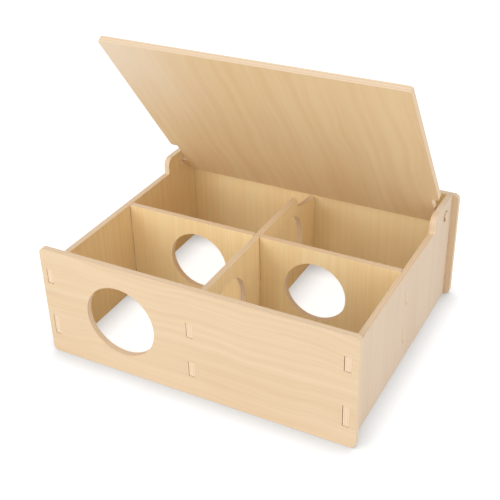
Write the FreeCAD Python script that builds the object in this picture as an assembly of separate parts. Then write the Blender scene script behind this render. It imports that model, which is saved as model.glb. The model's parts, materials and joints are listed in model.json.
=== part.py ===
import FreeCAD, Part
import math
import os
from FreeCAD import Vector

# A wooden hamster house: seven flat plywood boards that slot together without screws or glue,
# with four rooms under a lid that turns on its own wooden tabs. It has no floor.
# Sizes are in millimetres. The origin is on the ground at the centre of the plan, under the
# crossing of the two dividers. +X points to the right, +Y to the back and +Z up.

# Boards and overall size
board = 5.5
house_width = 300.0
house_depth = 250.0
panel_height = 110.0
panel_corner = 5.0
lid_recess = 16.0
side_inset = 6.0

# Round ways for the animal: the entrance, and the passages between rooms
entrance_diameter = 69.0
entrance_x = -70.5
entrance_z = 55.0
passage_diameter = 60.0
passage_z = 49.5
left_passage_x = -63.5
right_passage_x = 58.5
front_passage_y = -61.5
rear_passage_y = 60.0

# Tenons: how high the low ones stand above the ground, how far the high ones stop below the
# upper edge, and the height of each. A tenon lies close to the right or rear wall and the top
# of its slot, with the gap on the other sides. The boards are cut a little short between them.
side_low_tenon_z = 21.0
side_low_tenon_height = 20.0
side_high_tenon_drop = 4.0
side_high_tenon_height = 14.0
divider_low_tenon_z = 21.0
divider_low_tenon_height = 15.0
divider_high_tenon_drop = 18.0
divider_high_tenon_height = 14.0
slot_close = 0.1
slot_gap = 0.7
shoulder_play = 0.5

# Half lap where the dividers cross
lap_z = 47.0
lap_play = 0.5

# Ears that carry the lid, at the rear of both sides, as high as the panels
ear_reach = 31.0
ear_corner = 8.0
ear_root = 2.0
pivot_inset = 18.0
pivot_play = 0.5

# Lid. It is loose between the ears by the neck gap and stands pushed over by lid_shift.
lid_angle = 54.0
lid_shift = 2.0
lid_seat_gap = 0.2
lid_lap = 2.7
lid_front_gap = 10.0
lid_back_gap = 5.5
lid_corner = 3.0
neck_gap = 4.5
shoulder_gap = 4.0
tab_width = 8.8
tab_recess = 1.0

# Hollow in the rear end of the centre divider, which the lid's rear edge dips into
hollow_reach = 22.5
hollow_depth = 17.5
hollow_radius = 100.0
hollow_lip = 2.0

# Where the boards' faces stand, and the upper edge of the sides and dividers
front_outer = -house_depth / 2
front_inner = front_outer + board
back_outer = house_depth / 2
back_inner = back_outer - board
side_outer = house_width / 2 - side_inset
side_inner = side_outer - board
wall_height = panel_height - lid_recess

# The axis that the lid turns on
pivot_y = back_inner - pivot_inset
pivot_z = wall_height + lid_seat_gap + board / 2
pivot_hole_radius = math.hypot(board, tab_width) / 2 + pivot_play

# How far a cutting tool runs past the board that it cuts
overrun = 1.0


def span(centre, width):
    """The two ends of a stretch with this centre and width."""
    return (centre - width / 2, centre + width / 2)


def widened(stretch, play):
    """The same stretch, longer by the play at both ends."""
    return (stretch[0] - play, stretch[1] + play)


def slot_around(stretch):
    """A slot's two ends around a tenon's, with the gap at the lower end."""
    return (stretch[0] - slot_gap, stretch[1] + slot_close)


def block(x, y, z):
    """A box between the two ends given for each direction."""
    corner = Vector(x[0], y[0], z[0])
    return Part.makeBox(x[1] - x[0], y[1] - y[0], z[1] - z[0], corner)


def round_cut(radius, centre, direction):
    """A cylinder that cuts a round hole through a board centred at this point."""
    length = board + 2 * overrun
    start = centre - direction * (length / 2)
    return Part.makeCylinder(radius, length, start, direction)


def edges_at(shape, **place):
    """The edges whose every corner has the given coordinates, such as x=3, z=0."""
    found = []
    for edge in shape.Edges:
        points = [corner.Point for corner in edge.Vertexes]
        if all(abs(getattr(p, axis) - at) < 0.001 for p in points for axis, at in place.items()):
            found.append(edge)
    return found


def rounded(shape, radius, places):
    """The shape with the edges at these places rounded."""
    edges = [edge for place in places for edge in edges_at(shape, **place)]
    return shape.makeFillet(radius, edges)


def side_tenons():
    """Heights of the tenons that join a side to the front and back panels."""
    low = (side_low_tenon_z, side_low_tenon_z + side_low_tenon_height)
    top = wall_height - side_high_tenon_drop
    high = (top - side_high_tenon_height, top)
    return [low, high]


def divider_tenons():
    """Heights of the tenons at both ends of either divider."""
    low = (divider_low_tenon_z, divider_low_tenon_z + divider_low_tenon_height)
    top = wall_height - divider_high_tenon_drop
    high = (top - divider_high_tenon_height, top)
    return [low, high]


def wall_along_y(x, tenons):
    """A wall that runs from front to back at this x, with tenons through both panels."""
    thickness = span(x, board)
    length = (front_inner + shoulder_play, back_inner - shoulder_play)
    wall = block(thickness, length, (0, wall_height))
    tongues = [block(thickness, (front_outer, back_outer), heights) for heights in tenons]
    return wall.fuse(tongues).removeSplitter()


def end_panel(y):
    """A front or back panel centred at this y, slotted for both sides and the centre divider."""
    thickness = span(y, board)
    panel = block(span(0, house_width), thickness, (0, panel_height))
    corners = [{"x": x, "z": z} for x in span(0, house_width) for z in (0, panel_height)]
    panel = rounded(panel, panel_corner, corners)
    side_x = (side_inner + side_outer) / 2
    joints = [(-side_x, side_tenons()), (0, divider_tenons()), (side_x, side_tenons())]
    slots = []
    for x, tenons in joints:
        for heights in tenons:
            slot = block(
                slot_around(span(x, board)),
                widened(thickness, overrun),
                slot_around(heights),
            )
            slots.append(slot)
    return panel.cut(slots)


def front_panel():
    """The front panel, with the entrance into the left room."""
    y = (front_outer + front_inner) / 2
    centre = Vector(entrance_x, y, entrance_z)
    return end_panel(y).cut(round_cut(entrance_diameter / 2, centre, Vector(0, 1, 0)))


def back_panel():
    """The back panel, which is plain between its slots."""
    return end_panel((back_inner + back_outer) / 2)


def side(direction):
    """The left (-1) or right (+1) side, with its ear and the slots for the cross divider."""
    x = direction * (side_inner + side_outer) / 2
    thickness = span(x, board)
    ear_front = pivot_y - ear_reach
    ear_rear = back_inner - shoulder_play
    ear = block(thickness, (ear_front, ear_rear), (0, panel_height))
    board_with_ear = wall_along_y(x, side_tenons()).fuse(ear).removeSplitter()
    board_with_ear = rounded(board_with_ear, ear_corner, [{"y": ear_front, "z": panel_height}])
    board_with_ear = rounded(board_with_ear, ear_root, [{"y": ear_front, "z": wall_height}])
    cuts = [round_cut(pivot_hole_radius, Vector(x, pivot_y, pivot_z), Vector(1, 0, 0))]
    for heights in divider_tenons():
        slot = block(
            widened(thickness, overrun),
            slot_around(span(0, board)),
            slot_around(heights),
        )
        cuts.append(slot)
    return board_with_ear.cut(cuts)


def centre_divider():
    """The wall from front to back, halved from below, with its hollow under the lid's rear edge."""
    thickness = span(0, board)
    hollow_front = pivot_y - hollow_reach
    hollow_floor = wall_height - hollow_depth
    wall = wall_along_y(0, divider_tenons())
    axis_start = Vector(thickness[0] - overrun, back_inner, hollow_floor + hollow_radius)
    scoop = Part.makeCylinder(hollow_radius, board + 2 * overrun, axis_start, Vector(1, 0, 0))
    reach = (hollow_front, back_inner)
    above_tenons = block(widened(thickness, overrun), reach, (hollow_floor, wall_height + overrun))
    wall = wall.cut(scoop.common(above_tenons))
    wall = rounded(wall, hollow_lip, [{"y": hollow_front, "z": wall_height}])
    cuts = [block(widened(thickness, overrun), widened(span(0, board), lap_play), (-overrun, lap_z))]
    for y in (front_passage_y, rear_passage_y):
        cuts.append(round_cut(passage_diameter / 2, Vector(0, y, passage_z), Vector(1, 0, 0)))
    return wall.cut(cuts)


def cross_divider():
    """The wall from side to side, halved from above."""
    thickness = span(0, board)
    length = (-side_inner + shoulder_play, side_inner - shoulder_play)
    wall = block(length, thickness, (0, wall_height))
    tongues = [block((-side_outer, side_outer), thickness, heights) for heights in divider_tenons()]
    wall = wall.fuse(tongues).removeSplitter()
    lap_heights = (lap_z, wall_height + overrun)
    cuts = [block(widened(span(0, board), lap_play), widened(thickness, overrun), lap_heights)]
    for x in (left_passage_x, right_passage_x):
        cuts.append(round_cut(passage_diameter / 2, Vector(x, 0, passage_z), Vector(0, 1, 0)))
    return wall.cut(cuts)


def lid():
    """The lid with its neck between the ears and its two tabs, opened to lid_angle."""
    thickness = span(pivot_z, board)
    front_edge = front_inner + lid_front_gap
    shoulder = pivot_y - ear_reach - shoulder_gap
    rear_edge = back_inner - lid_back_gap
    lid_x = (-side_inner - lid_lap, side_inner + lid_lap)
    neck_x = (-side_inner + neck_gap, side_inner - neck_gap)
    tab_x = (-side_outer + tab_recess, side_outer - tab_recess)
    cover = block(lid_x, (front_edge, shoulder), thickness)
    neck = block(neck_x, (front_edge, rear_edge), thickness)
    tabs = block(tab_x, span(pivot_y, tab_width), thickness)
    closed = cover.fuse([neck, tabs]).removeSplitter()
    corners = [{"x": x, "y": y} for x in lid_x for y in (front_edge, shoulder)]
    corners += [{"x": x, "y": rear_edge} for x in neck_x]
    closed = rounded(closed, lid_corner, corners)
    closed.translate(Vector(lid_shift, 0, 0))
    closed.rotate(Vector(0, pivot_y, pivot_z), Vector(-1, 0, 0), lid_angle)
    return closed


def write(name, shape):
    """Writes one piece as a STEP file and prints what it measures."""
    solid = shape.Solids[0]
    size = solid.BoundBox
    solid.exportStep(os.path.join("parts", name + ".step"))
    measures = f"{size.XLength:7.2f} {size.YLength:7.2f} {size.ZLength:7.2f}"
    print(f"{name:15s} solids {len(shape.Solids)} valid {solid.isValid()} size {measures}")


pieces = {
    "front_panel": front_panel(),
    "back_panel": back_panel(),
    "left_side": side(-1),
    "right_side": side(1),
    "centre_divider": centre_divider(),
    "cross_divider": cross_divider(),
    "lid": lid(),
}

os.makedirs("parts", exist_ok=True)
for name, shape in pieces.items():
    write(name, shape)
print(f"lid axis at y {pivot_y:.2f}, z {pivot_z:.2f}; hole radius {pivot_hole_radius:.3f}")
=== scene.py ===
# %% [markdown]
# # A wooden hamster house
# The house is six flat plywood boards that slot together, and a seventh, the lid, that swings on
# its own wooden tabs. The boards already have their real shape and size, so the work here is
# their finish: what the wood looks like on its faces, on its cut edges and in its round holes.
# After that come a floor, light and a camera. Lengths are in metres, except where a name or a
# comment says millimetres.

import json
import math

import bpy
from mathutils import Matrix, Vector


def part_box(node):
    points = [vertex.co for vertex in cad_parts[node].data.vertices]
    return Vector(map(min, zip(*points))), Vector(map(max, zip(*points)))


MM_PER_METRE = 1000

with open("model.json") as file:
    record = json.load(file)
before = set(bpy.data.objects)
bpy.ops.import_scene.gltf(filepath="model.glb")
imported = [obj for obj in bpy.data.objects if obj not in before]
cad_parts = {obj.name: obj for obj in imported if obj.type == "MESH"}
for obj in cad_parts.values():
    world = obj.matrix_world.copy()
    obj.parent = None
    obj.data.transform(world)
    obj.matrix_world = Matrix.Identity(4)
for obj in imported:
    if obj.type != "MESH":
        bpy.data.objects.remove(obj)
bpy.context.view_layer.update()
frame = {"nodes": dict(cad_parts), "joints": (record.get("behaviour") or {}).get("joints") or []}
boards = frame["nodes"]
print("boards:", sorted(boards))

# %% [markdown]
# ## Sums on sockets
# A wood pattern is mostly arithmetic: distances along and across the grain, waves and masks.
# Wiring Math nodes one by one hides that arithmetic. So a small class wraps a socket and turns
# the usual signs into Math nodes, and `1 - mask` reads as it would on paper.


# %% The class for sums
class Amount:
    """A number that may change over a surface, held by a socket of a finish's node tree."""

    def __init__(self, finish, socket):
        self.finish = finish
        self.socket = socket

    def sum(self, operation, *values):
        made = self.finish.node("ShaderNodeMath", {"operation": operation}, dict(enumerate(values)))
        return Amount(self.finish, made.outputs["Value"])

    def __add__(self, other):
        return self.sum("ADD", self, other)

    def __radd__(self, other):
        return self.sum("ADD", other, self)

    def __sub__(self, other):
        return self.sum("SUBTRACT", self, other)

    def __rsub__(self, other):
        return self.sum("SUBTRACT", other, self)

    def __mul__(self, other):
        return self.sum("MULTIPLY", self, other)

    def __rmul__(self, other):
        return self.sum("MULTIPLY", other, self)

    def __truediv__(self, other):
        return self.sum("DIVIDE", self, other)

    def __abs__(self):
        return self.sum("ABSOLUTE", self)

    def sine(self):
        return self.sum("SINE", self)

    def ramp(self, start, end):
        """0 at start and 1 at end, with a soft step between them. Start may be the higher one."""
        made = self.finish.node(
            "ShaderNodeMapRange",
            {"interpolation_type": "SMOOTHSTEP"},
            {"Value": self, "From Min": start, "From Max": end},
        )
        return Amount(self.finish, made.outputs["Result"])


print("sums ready")

# %% [markdown]
# ## One place where nodes are made
# Nodes can be made anywhere in a script, but then each one takes four or five lines that all look
# alike. Here every node comes from one method. It takes the node's type, then its settings,
# because some settings change which sockets a node has, and then the values or links of its
# sockets. The same class serves the boards, the floor and the world around them.


# %% The class for finishes
class Finish:
    """The node tree of a material or of the world."""

    def __init__(self, owner):
        owner.use_nodes = True
        self.owner = owner
        self.tree = owner.node_tree
        self.tree.nodes.clear()

    def node(self, kind, settings=None, inputs=None):
        """A new node of this type."""
        made = self.tree.nodes.new(kind)
        for name, value in (settings or {}).items():
            setattr(made, name, value)
        for key, value in (inputs or {}).items():
            if isinstance(value, Amount):
                value = value.socket
            if isinstance(value, bpy.types.NodeSocket):
                self.tree.links.new(value, made.inputs[key])
            else:
                made.inputs[key].default_value = value
        return made

    def done(self, surface, output="ShaderNodeOutputMaterial"):
        """The material or the world, now that its last shader is known."""
        self.node(output, None, {"Surface": surface})
        return self.owner


print("finishes ready")

# %% [markdown]
# ## Distances, noise and colours
# Wood differs along its grain and across it, so every pattern here starts with a distance along
# one of the board's directions. A board could be unwrapped for that, but its Object coordinates
# are already its real place, so a pattern made from them has its true size everywhere and runs on
# round an edge. A dot product turns them into one distance, and noise read at such distances
# becomes streaks when they are divided by different lengths.

# %% Helpers for patterns
# A Mix node has sockets for every kind of data. These are the numbers of the ones for colours.
MIX_FACTOR = 0
MIX_FIRST = 6
MIX_SECOND = 7
MIX_RESULT = 2


def distance(finish, centre, direction):
    """Millimetres from the centre along a direction."""
    place = finish.node("ShaderNodeTexCoord").outputs["Object"]
    inputs = {0: place, 1: direction * MM_PER_METRE}
    made = finish.node("ShaderNodeVectorMath", {"operation": "DOT_PRODUCT"}, inputs)
    return Amount(finish, made.outputs["Value"]) - MM_PER_METRE * centre.dot(direction)


def noise(finish, x, y, z, detail=2.0, roughness=0.5):
    """Soft noise from 0 to 1 that changes about once per unit of x, y and z."""
    point = finish.node("ShaderNodeCombineXYZ", None, {"X": x, "Y": y, "Z": z}).outputs["Vector"]
    settings = {"noise_dimensions": "3D", "normalize": True}
    inputs = {"Vector": point, "Scale": 1.0, "Detail": detail, "Roughness": roughness}
    return Amount(finish, finish.node("ShaderNodeTexNoise", settings, inputs).outputs["Fac"])


def mix(finish, factor, first, second):
    """The first colour where the factor is 0 and the second where it is 1."""
    inputs = {MIX_FACTOR: factor, MIX_FIRST: first, MIX_SECOND: second}
    return finish.node("ShaderNodeMix", {"data_type": "RGBA"}, inputs).outputs[MIX_RESULT]


def opaque(colour):
    return (*colour, 1)


def grey(level):
    return opaque((level, level, level))


print("helpers ready")

# %% [markdown]
# ## How the boards lie
# Plywood looks different along its grain, across it and through its thickness. Each board gets
# three directions and a centre. They could be typed in, but reading them from the boards keeps
# the finish in place if a board changes. The lid is modelled half open, so its own directions
# are turned by the angle that its hinge still has to close.

# %% Directions and sizes of the boards
RIGHT = Vector((1, 0, 0))
BACK = Vector((0, 1, 0))
UP = Vector((0, 0, 1))

hinge = frame["joints"][0]
lid_angle = math.radians(-hinge["range_deg"][0])
pivot = Vector(hinge["pos_m"])
towards_free_edge = Vector((0, -math.cos(lid_angle), math.sin(lid_angle)))
out_of_lid = RIGHT.cross(towards_free_edge)


def middle(name):
    low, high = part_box(name)
    return (low + high) / 2


board_centres = {name: middle(name) for name in boards}
board_centres["lid"] = pivot
print("lid stands open by", round(math.degrees(lid_angle), 1), "degrees")

panel_low, panel_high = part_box("front_panel")
board_thickness = MM_PER_METRE * (panel_high.y - panel_low.y)
print("boards are", round(board_thickness, 2), "mm thick")

side_low, side_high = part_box("right_side")
sides_reach = MM_PER_METRE * side_high.x
print("the sides stand", round(sides_reach, 1), "mm from the middle")

# %% [markdown]
# ## The faces of plywood
# The outer plies are peeled from a log, so their figure is long and uneven: slow drifts of
# colour, growth streaks and rings that swerve a little, and fine fibres between them. A wave
# alone would look like corduroy, and noise alone like stone. So the parts are made one by one,
# each stretched along the grain by its own amount, and added up.

# %% The figure of a face
# How far apart changes lie, in millimetres, along the grain and across it
BEND_SPACING = (85, 60)
DRIFT_SPACING = (260, 38)
SWAY_SPACING = (95, 30)
STRENGTH_SPACING = (120, 14)
FIBRE_SPACING = (34, 0.75)
BAND_LENGTH = 300

# Widths that grow with the board's own streaks, in streaks
BAND_WIDTH = 0.35
RING_WIDTH = 2.6
RING_SWAY = 5.5

# Which layer of the noise each part reads, so that no two parts look alike
LAYER = {"bend": 2.2, "bands": 5.0, "sway": 7.3, "strength": 3.1, "fibres": 11.0}

# The stretch of the noise that is drawn out to the full range from 0 to 1
CONTRAST = {"drift": (0.25, 0.75), "bands": (0.3, 0.7), "strength": (0.35, 0.75)}

# How much each part darkens the face
SHARE = {"drift": 0.22, "bands": 0.36, "rings": 0.14, "fibres": 0.28}


def stretched(finish, along, across, spacing, layer, detail=2.0, roughness=0.5):
    """Noise whose changes lie this far apart along the grain and across it."""
    length, width = spacing
    return noise(finish, along / length, across / width, layer, detail, roughness)


def face_figure(finish, along, across, seed, streak, bend):
    """How dark the face is, from 0 to 1."""
    layer = {part: seed + above for part, above in LAYER.items()}
    sideways = stretched(finish, along, across, BEND_SPACING, layer["bend"], detail=1.5) - 0.5
    across = across + 2 * bend * sideways
    drift = stretched(finish, along, across, DRIFT_SPACING, seed).ramp(*CONTRAST["drift"])
    spacing = (BAND_LENGTH, BAND_WIDTH * streak)
    bands = stretched(finish, along, across, spacing, layer["bands"], detail=3.0, roughness=0.65)
    bands = bands.ramp(*CONTRAST["bands"])
    sway = stretched(finish, along, across, SWAY_SPACING, layer["sway"], detail=1.0)
    wave = (across / streak + RING_SWAY * sway) * (2 * math.pi / RING_WIDTH)
    rings = 0.5 + 0.5 * wave.sine()
    strength = stretched(finish, along, across, STRENGTH_SPACING, layer["strength"])
    strength = strength.ramp(*CONTRAST["strength"])
    spacing = FIBRE_SPACING
    fibres = stretched(finish, along, across, spacing, layer["fibres"], detail=3.0, roughness=0.6)
    streaks = SHARE["drift"] * drift + SHARE["bands"] * bands
    return streaks + SHARE["rings"] * rings * strength + SHARE["fibres"] * fibres


print("parts of the figure:", sorted(SHARE))

# %% [markdown]
# ## The cut edges of plywood
# The boards are three plies of pale wood. The middle ply lies crosswise, so the cut edges and the
# walls of the round holes show it as a slightly darker band between two pale ones, with a brown
# glue line at each side. The edges could get a material of their own, but the boards' triangles
# don't say which are edges. So the finish finds them by depth: only they lie inside both faces.

# %% The plies on a cut edge
# Sizes in millimetres. The last two are how far apart changes of the end grain lie, along the
# edge and through the board.
FACE_PLY = 1.35
GLUE_LINE = 0.28
PLY_BLUR = 0.1
SKIN = 0.04
END_GRAIN = 1.1
END_GRAIN_THROUGH = 0.35

# How dark the edge is everywhere, and how much each part adds
EDGE_DARKNESS = 0.04
CORE_DARKNESS = 0.07
GLUE_DARKNESS = 0.42
END_GRAIN_DARKNESS = 0.26


def cut_edge_mask(depth):
    """1 on the cut edges and 0 on both faces."""
    return 1 - abs(depth).ramp(board_thickness / 2 - 2 * SKIN, board_thickness / 2 - SKIN)


def edge_figure(finish, along, across, depth, seed):
    """How dark a cut edge is, from 0 to 1: plies, glue lines and end grain."""
    core_half = board_thickness / 2 - FACE_PLY
    core = 1 - abs(depth).ramp(core_half - PLY_BLUR, core_half + PLY_BLUR)
    glue = 1 - abs(abs(depth) - core_half).ramp(GLUE_LINE / 2, GLUE_LINE)
    through = depth / END_GRAIN_THROUGH + seed
    grain = noise(finish, along / END_GRAIN, across / END_GRAIN, through, detail=3.0)
    plies = EDGE_DARKNESS + CORE_DARKNESS * core + GLUE_DARKNESS * glue
    return plies + END_GRAIN_DARKNESS * (grain - 0.5)


print("face ply", FACE_PLY, "mm, core", round(board_thickness - 2 * FACE_PLY, 2), "mm")

# %% [markdown]
# ## Tones
# All the boards are the same kind of wood, and yet no two veneers match. The front is the
# palest, the right side a little pinker, and the boards that line the rooms more golden. The
# back panel and the dividers are also very bright, which is partly painted light: the golden
# light that bounces round the rooms. The back panel has this painted room light only on its
# inner face between the sides, and is as pale as the front outside them. The lid fades to a
# paler, pinker tone towards one corner of its free edge, which is a painted sheen and light from
# the white surroundings. One tone for all would be simpler and would look like plastic, so each
# board has its own light and dark colour.

# %% Colours of the faces and edges
EDGE_LIGHT = (0.85, 0.67, 0.475)
EDGE_DARK = (0.54, 0.32, 0.16)
FRONT = ((0.81, 0.64, 0.44), (0.68, 0.48, 0.29))
# The back panel's and the dividers' very pale golden tones are partly painted light: the bright
# bounced light in the rooms.
BACK_PANEL_WITH_PAINTED_LIGHT = ((0.98, 0.82, 0.50), (0.91, 0.64, 0.32))
LEFT = ((0.82, 0.62, 0.34), (0.71, 0.47, 0.21))
RIGHT_SIDE = ((0.80, 0.655, 0.505), (0.70, 0.53, 0.38))
DIVIDER_WITH_PAINTED_LIGHT = ((0.98, 0.82, 0.50), (0.90, 0.61, 0.28))
LID = ((0.82, 0.625, 0.375), (0.725, 0.485, 0.245))
# The lid's paler tone near one corner of its free edge is a painted sheen and light from the white
# surroundings.
LID_PAINTED_SHEEN = (0.84, 0.69, 0.52)

# Where the lid's painted sheen lies, in millimetres: along the grain from its pivot, and across
# from its middle
PAINTED_SHEEN_ALONG = (60, 215)
PAINTED_SHEEN_ACROSS = (-20, -150)

# How softly the back panel's two tones meet, where its painted room light ends, in millimetres
MIDDLE_BLUR = 0.1
SIDE_BLUR = 1


def between(finish, figure, tone):
    """A tone's light colour where the figure is 0 and its dark one where it is 1."""
    light, dark = tone
    return mix(finish, figure, opaque(light), opaque(dark))


def face_colour(finish, name, tone, figure, along, across, depth):
    """The colour of a board's faces, with painted sheen on the lid and painted room light on the
    back panel.
    """
    colour = between(finish, figure, tone)
    # The lid gets a painted sheen: a paler, pinker tone towards one corner of its free edge.
    if name == "lid":
        painted_sheen = along.ramp(*PAINTED_SHEEN_ALONG) * across.ramp(*PAINTED_SHEEN_ACROSS)
        colour = mix(finish, painted_sheen, colour, opaque(LID_PAINTED_SHEEN))
    # On the back panel the bright golden tone is painted room light, kept to its inner face between
    # the sides; elsewhere it takes the front's tone.
    if name == "back_panel":
        outer_colour = between(finish, figure, FRONT)
        inner_face = 1 - depth.ramp(-MIDDLE_BLUR, MIDDLE_BLUR)
        painted_room_light = inner_face * (1 - abs(across).ramp(sides_reach - SIDE_BLUR, sides_reach))
        colour = mix(finish, painted_room_light, outer_colour, colour)
    return colour


print("tones ready")

# %% [markdown]
# ## The wood itself
# The plywood is bare and sanded: nearly matt, a little rougher in its dark streaks, with fibres
# that a fingertip can just feel. Such fibres could be cut into the mesh, but they are finer than
# a tenth of a millimetre, so a bump is enough. One Principled shader takes the colour, the
# roughness and the bump. The gloss is the same all over, so it is set on the shader's own socket.

# %% The plywood finish
# Length and width of the raised fibres, in millimetres, and how far they stand out, in metres
FUZZ_LENGTH = 12
FUZZ_WIDTH = 0.5
FUZZ_HEIGHT = 0.00006
FUZZ_STRENGTH = 0.25
ROUGHNESS = 0.58
ROUGHER_STREAKS = 0.16
GLOSS = 0.32


def plywood(name, grain, face, tone, streak, bend, seed):
    """Bare sanded plywood with its grain and its faces in the given directions."""
    finish = Finish(bpy.data.materials.new(name + "_plywood"))
    centre = board_centres[name]
    along = distance(finish, centre, grain)
    across = distance(finish, centre, grain.cross(face))
    depth = distance(finish, centre, face)
    edge = cut_edge_mask(depth)
    figure = face_figure(finish, along, across, seed, streak, bend)
    plies = edge_figure(finish, along, across, depth, seed)
    on_faces = face_colour(finish, name, tone, figure, along, across, depth)
    on_edges = between(finish, plies, (EDGE_LIGHT, EDGE_DARK))
    colour = mix(finish, edge, on_faces, on_edges)
    fuzz = noise(finish, along / FUZZ_LENGTH, across / FUZZ_WIDTH, depth / FUZZ_WIDTH + seed)
    relief = {"Strength": FUZZ_STRENGTH, "Distance": FUZZ_HEIGHT, "Height": fuzz}
    bump = finish.node("ShaderNodeBump", None, relief)
    surface = {
        "Base Color": colour,
        "Roughness": ROUGHNESS + ROUGHER_STREAKS * figure,
        "Specular IOR Level": GLOSS,
        "Normal": bump.outputs["Normal"],
    }
    wood = finish.node("ShaderNodeBsdfPrincipled", None, surface)
    return finish.done(wood.outputs["BSDF"])


print("plywood ready")

# %% [markdown]
# ## A finish for each board
# The grain runs along the front panel and upright in the other walls, and the lid's runs from its
# pivot to its free edge. The lid's streaks are the widest. One shared material would be less to
# make, but each board has its own directions, so each gets its own. It also gets its own seed,
# so that no figure is seen twice.

# %% Finish the boards
# Each board's grain, the direction that its face looks in, its tone, the width of its streaks and
# how far they swerve, both in millimetres
finishes = {
    "front_panel": (RIGHT, BACK, FRONT, 15.0, 9.0),
    "back_panel": (UP, BACK, BACK_PANEL_WITH_PAINTED_LIGHT, 8.0, 2.0),
    "left_side": (UP, RIGHT, LEFT, 9.0, 2.0),
    "right_side": (UP, RIGHT, RIGHT_SIDE, 9.0, 2.0),
    "centre_divider": (UP, RIGHT, DIVIDER_WITH_PAINTED_LIGHT, 7.0, 2.0),
    "cross_divider": (UP, BACK, DIVIDER_WITH_PAINTED_LIGHT, 7.0, 2.0),
    "lid": (towards_free_edge, out_of_lid, LID, 24.0, 8.0),
}
SEED_STEP = 5.7

for number, (name, looks) in enumerate(finishes.items()):
    wood = plywood(name, *looks, SEED_STEP * number)
    for slot in boards[name].material_slots:
        slot.material = wood
    print(name, "has", wood.name)

# %% [markdown]
# ## Floor
# The house stands on a plain pale floor. It has to look white around the house and still keep
# the house's soft shadow. More light would whiten the floor, but it would bleach the wood too.
# So the camera sees a sum: a white glow that fades close to the boards' feet, which is a painted
# contact shadow, and a floor that the light falls on. The light that the wood gets comes from a
# plain lit floor, apart from its faint gloss, which mirrors what the camera sees.

# %% The floor
FLOOR_HALF = 4.0
FLOOR_BELOW = 0.0002
FLOOR_TO_LIGHT = 0.90
FLOOR_SHADED = 0.30
FLOOR_GLOW = 0.90
CONTACT_REACH = 0.030
CONTACT_SAMPLES = 16

floor_mesh = bpy.data.meshes.new("floor")
corners = [(-1, -1), (1, -1), (1, 1), (-1, 1)]
floor_points = [(x * FLOOR_HALF, y * FLOOR_HALF, -FLOOR_BELOW) for x, y in corners]
floor_mesh.from_pydata(floor_points, [], [(0, 1, 2, 3)])
floor = bpy.data.objects.new("floor", floor_mesh)
bpy.context.scene.collection.objects.link(floor)


def seen_directly(finish):
    """1 for what the camera sees, also in a mirror or through glass, and 0 for other light."""
    path = finish.node("ShaderNodeLightPath").outputs
    seen = Amount(finish, path["Is Camera Ray"]) + Amount(finish, path["Is Glossy Ray"])
    return seen + Amount(finish, path["Is Transmission Ray"])


pale = Finish(bpy.data.materials.new("pale_floor"))
seen = seen_directly(pale)
floor_colour = mix(pale, seen, grey(FLOOR_TO_LIGHT), grey(FLOOR_SHADED))
# The glow fades within reach of the boards: a painted contact shadow on the floor.
near_boards = {"Color": grey(FLOOR_GLOW), "Distance": CONTACT_REACH}
painted_contact_shadow = pale.node("ShaderNodeAmbientOcclusion", {"samples": CONTACT_SAMPLES}, near_boards)
glow_colour = mix(pale, seen, grey(0), painted_contact_shadow.outputs["Color"])
lit = pale.node("ShaderNodeBsdfDiffuse", None, {"Color": floor_colour}).outputs["BSDF"]
glow = pale.node("ShaderNodeEmission", None, {"Color": glow_colour}).outputs["Emission"]
both = pale.node("ShaderNodeAddShader", None, {0: lit, 1: glow}).outputs["Shader"]
floor_mesh.materials.append(pale.done(both))
print("floor reaches", FLOOR_HALF, "m each way")

# %% [markdown]
# ## Light
# The light is that of a white studio tent: nearly even from all sides. Many small lamps could
# give that, with as many shadows. Here the world's own light does it, and two large soft lamps
# shape it. The stronger one, low at the front left, makes the front the brightest side and
# reaches into the rooms and under the lid. The weaker one lifts the right side. The camera
# sees the tent as plain white, whatever its strength.

# %% The world and the lamps
TENT = 0.72
LAMP_SIZE = 1.4
LAMPS = {
    "front_lamp": (19.0, Vector((-0.8, -1.9, 1.0))),
    "right_lamp": (9.0, Vector((1.9, -0.5, 0.9))),
}

tent = Finish(bpy.data.worlds.new("tent"))
tent_colour = mix(tent, seen_directly(tent), grey(1), grey(1 / TENT))
tent_light = tent.node("ShaderNodeBackground", None, {"Color": tent_colour, "Strength": TENT})
bpy.context.scene.world = tent.done(tent_light.outputs["Background"], "ShaderNodeOutputWorld")

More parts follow.
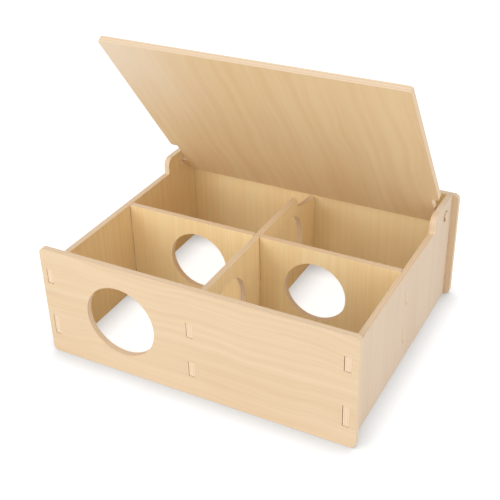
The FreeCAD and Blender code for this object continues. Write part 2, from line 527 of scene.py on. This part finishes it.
for name, (watts, place) in LAMPS.items():
    lamp_data = bpy.data.lights.new(name, "AREA")
    lamp_data.shape = "SQUARE"
    lamp_data.size = LAMP_SIZE
    lamp_data.energy = watts
    lamp = bpy.data.objects.new(name, lamp_data)
    lamp.location = place
    lamp.rotation_euler = (-place).to_track_quat("-Z", "Y").to_euler()
    bpy.context.scene.collection.objects.link(lamp)
    print(name, "is", round(place.length, 2), "m away")

# %% [markdown]
# ## Camera
# The camera looks down from the front right, tilted by a degree and a half. Its place could be
# tried out by eye, but the boards' straight edges fix it better: it was worked out so that they
# fall where the photo has them. A camera's own directions are the columns of its matrix, so
# they are written there, with no angles to get in the wrong order.

# %% The camera
PICTURE = 500
FOCAL_PIXELS = 942.57
PICTURE_CENTRE = (-1.49, -3.16)
CAMERA_PLACE = Vector((0.34584, -0.65390, 0.53334))
CAMERA_YAW = math.radians(28.56)
CAMERA_PITCH = math.radians(31.41)
CAMERA_ROLL = math.radians(-1.57)

level_right = Vector((math.cos(CAMERA_YAW), math.sin(CAMERA_YAW), 0))
backwards = Vector((
    math.sin(CAMERA_YAW) * math.cos(CAMERA_PITCH),
    -math.cos(CAMERA_YAW) * math.cos(CAMERA_PITCH),
    math.sin(CAMERA_PITCH),
))
level_up = backwards.cross(level_right)
camera_right = math.cos(CAMERA_ROLL) * level_right + math.sin(CAMERA_ROLL) * level_up
camera_up = backwards.cross(camera_right)

camera_data = bpy.data.cameras.new("camera")
camera_data.lens = FOCAL_PIXELS / PICTURE * camera_data.sensor_width
camera_data.shift_x = -PICTURE_CENTRE[0] / PICTURE
camera_data.shift_y = PICTURE_CENTRE[1] / PICTURE
camera = bpy.data.objects.new("camera", camera_data)
turn = Matrix((camera_right, camera_up, backwards)).transposed()
camera.matrix_world = Matrix.Translation(CAMERA_PLACE) @ turn.to_4x4()
bpy.context.scene.collection.objects.link(camera)
bpy.context.scene.camera = camera
bpy.context.scene.view_settings.view_transform = "Standard"
print("lens is", round(camera_data.lens, 1), "mm")
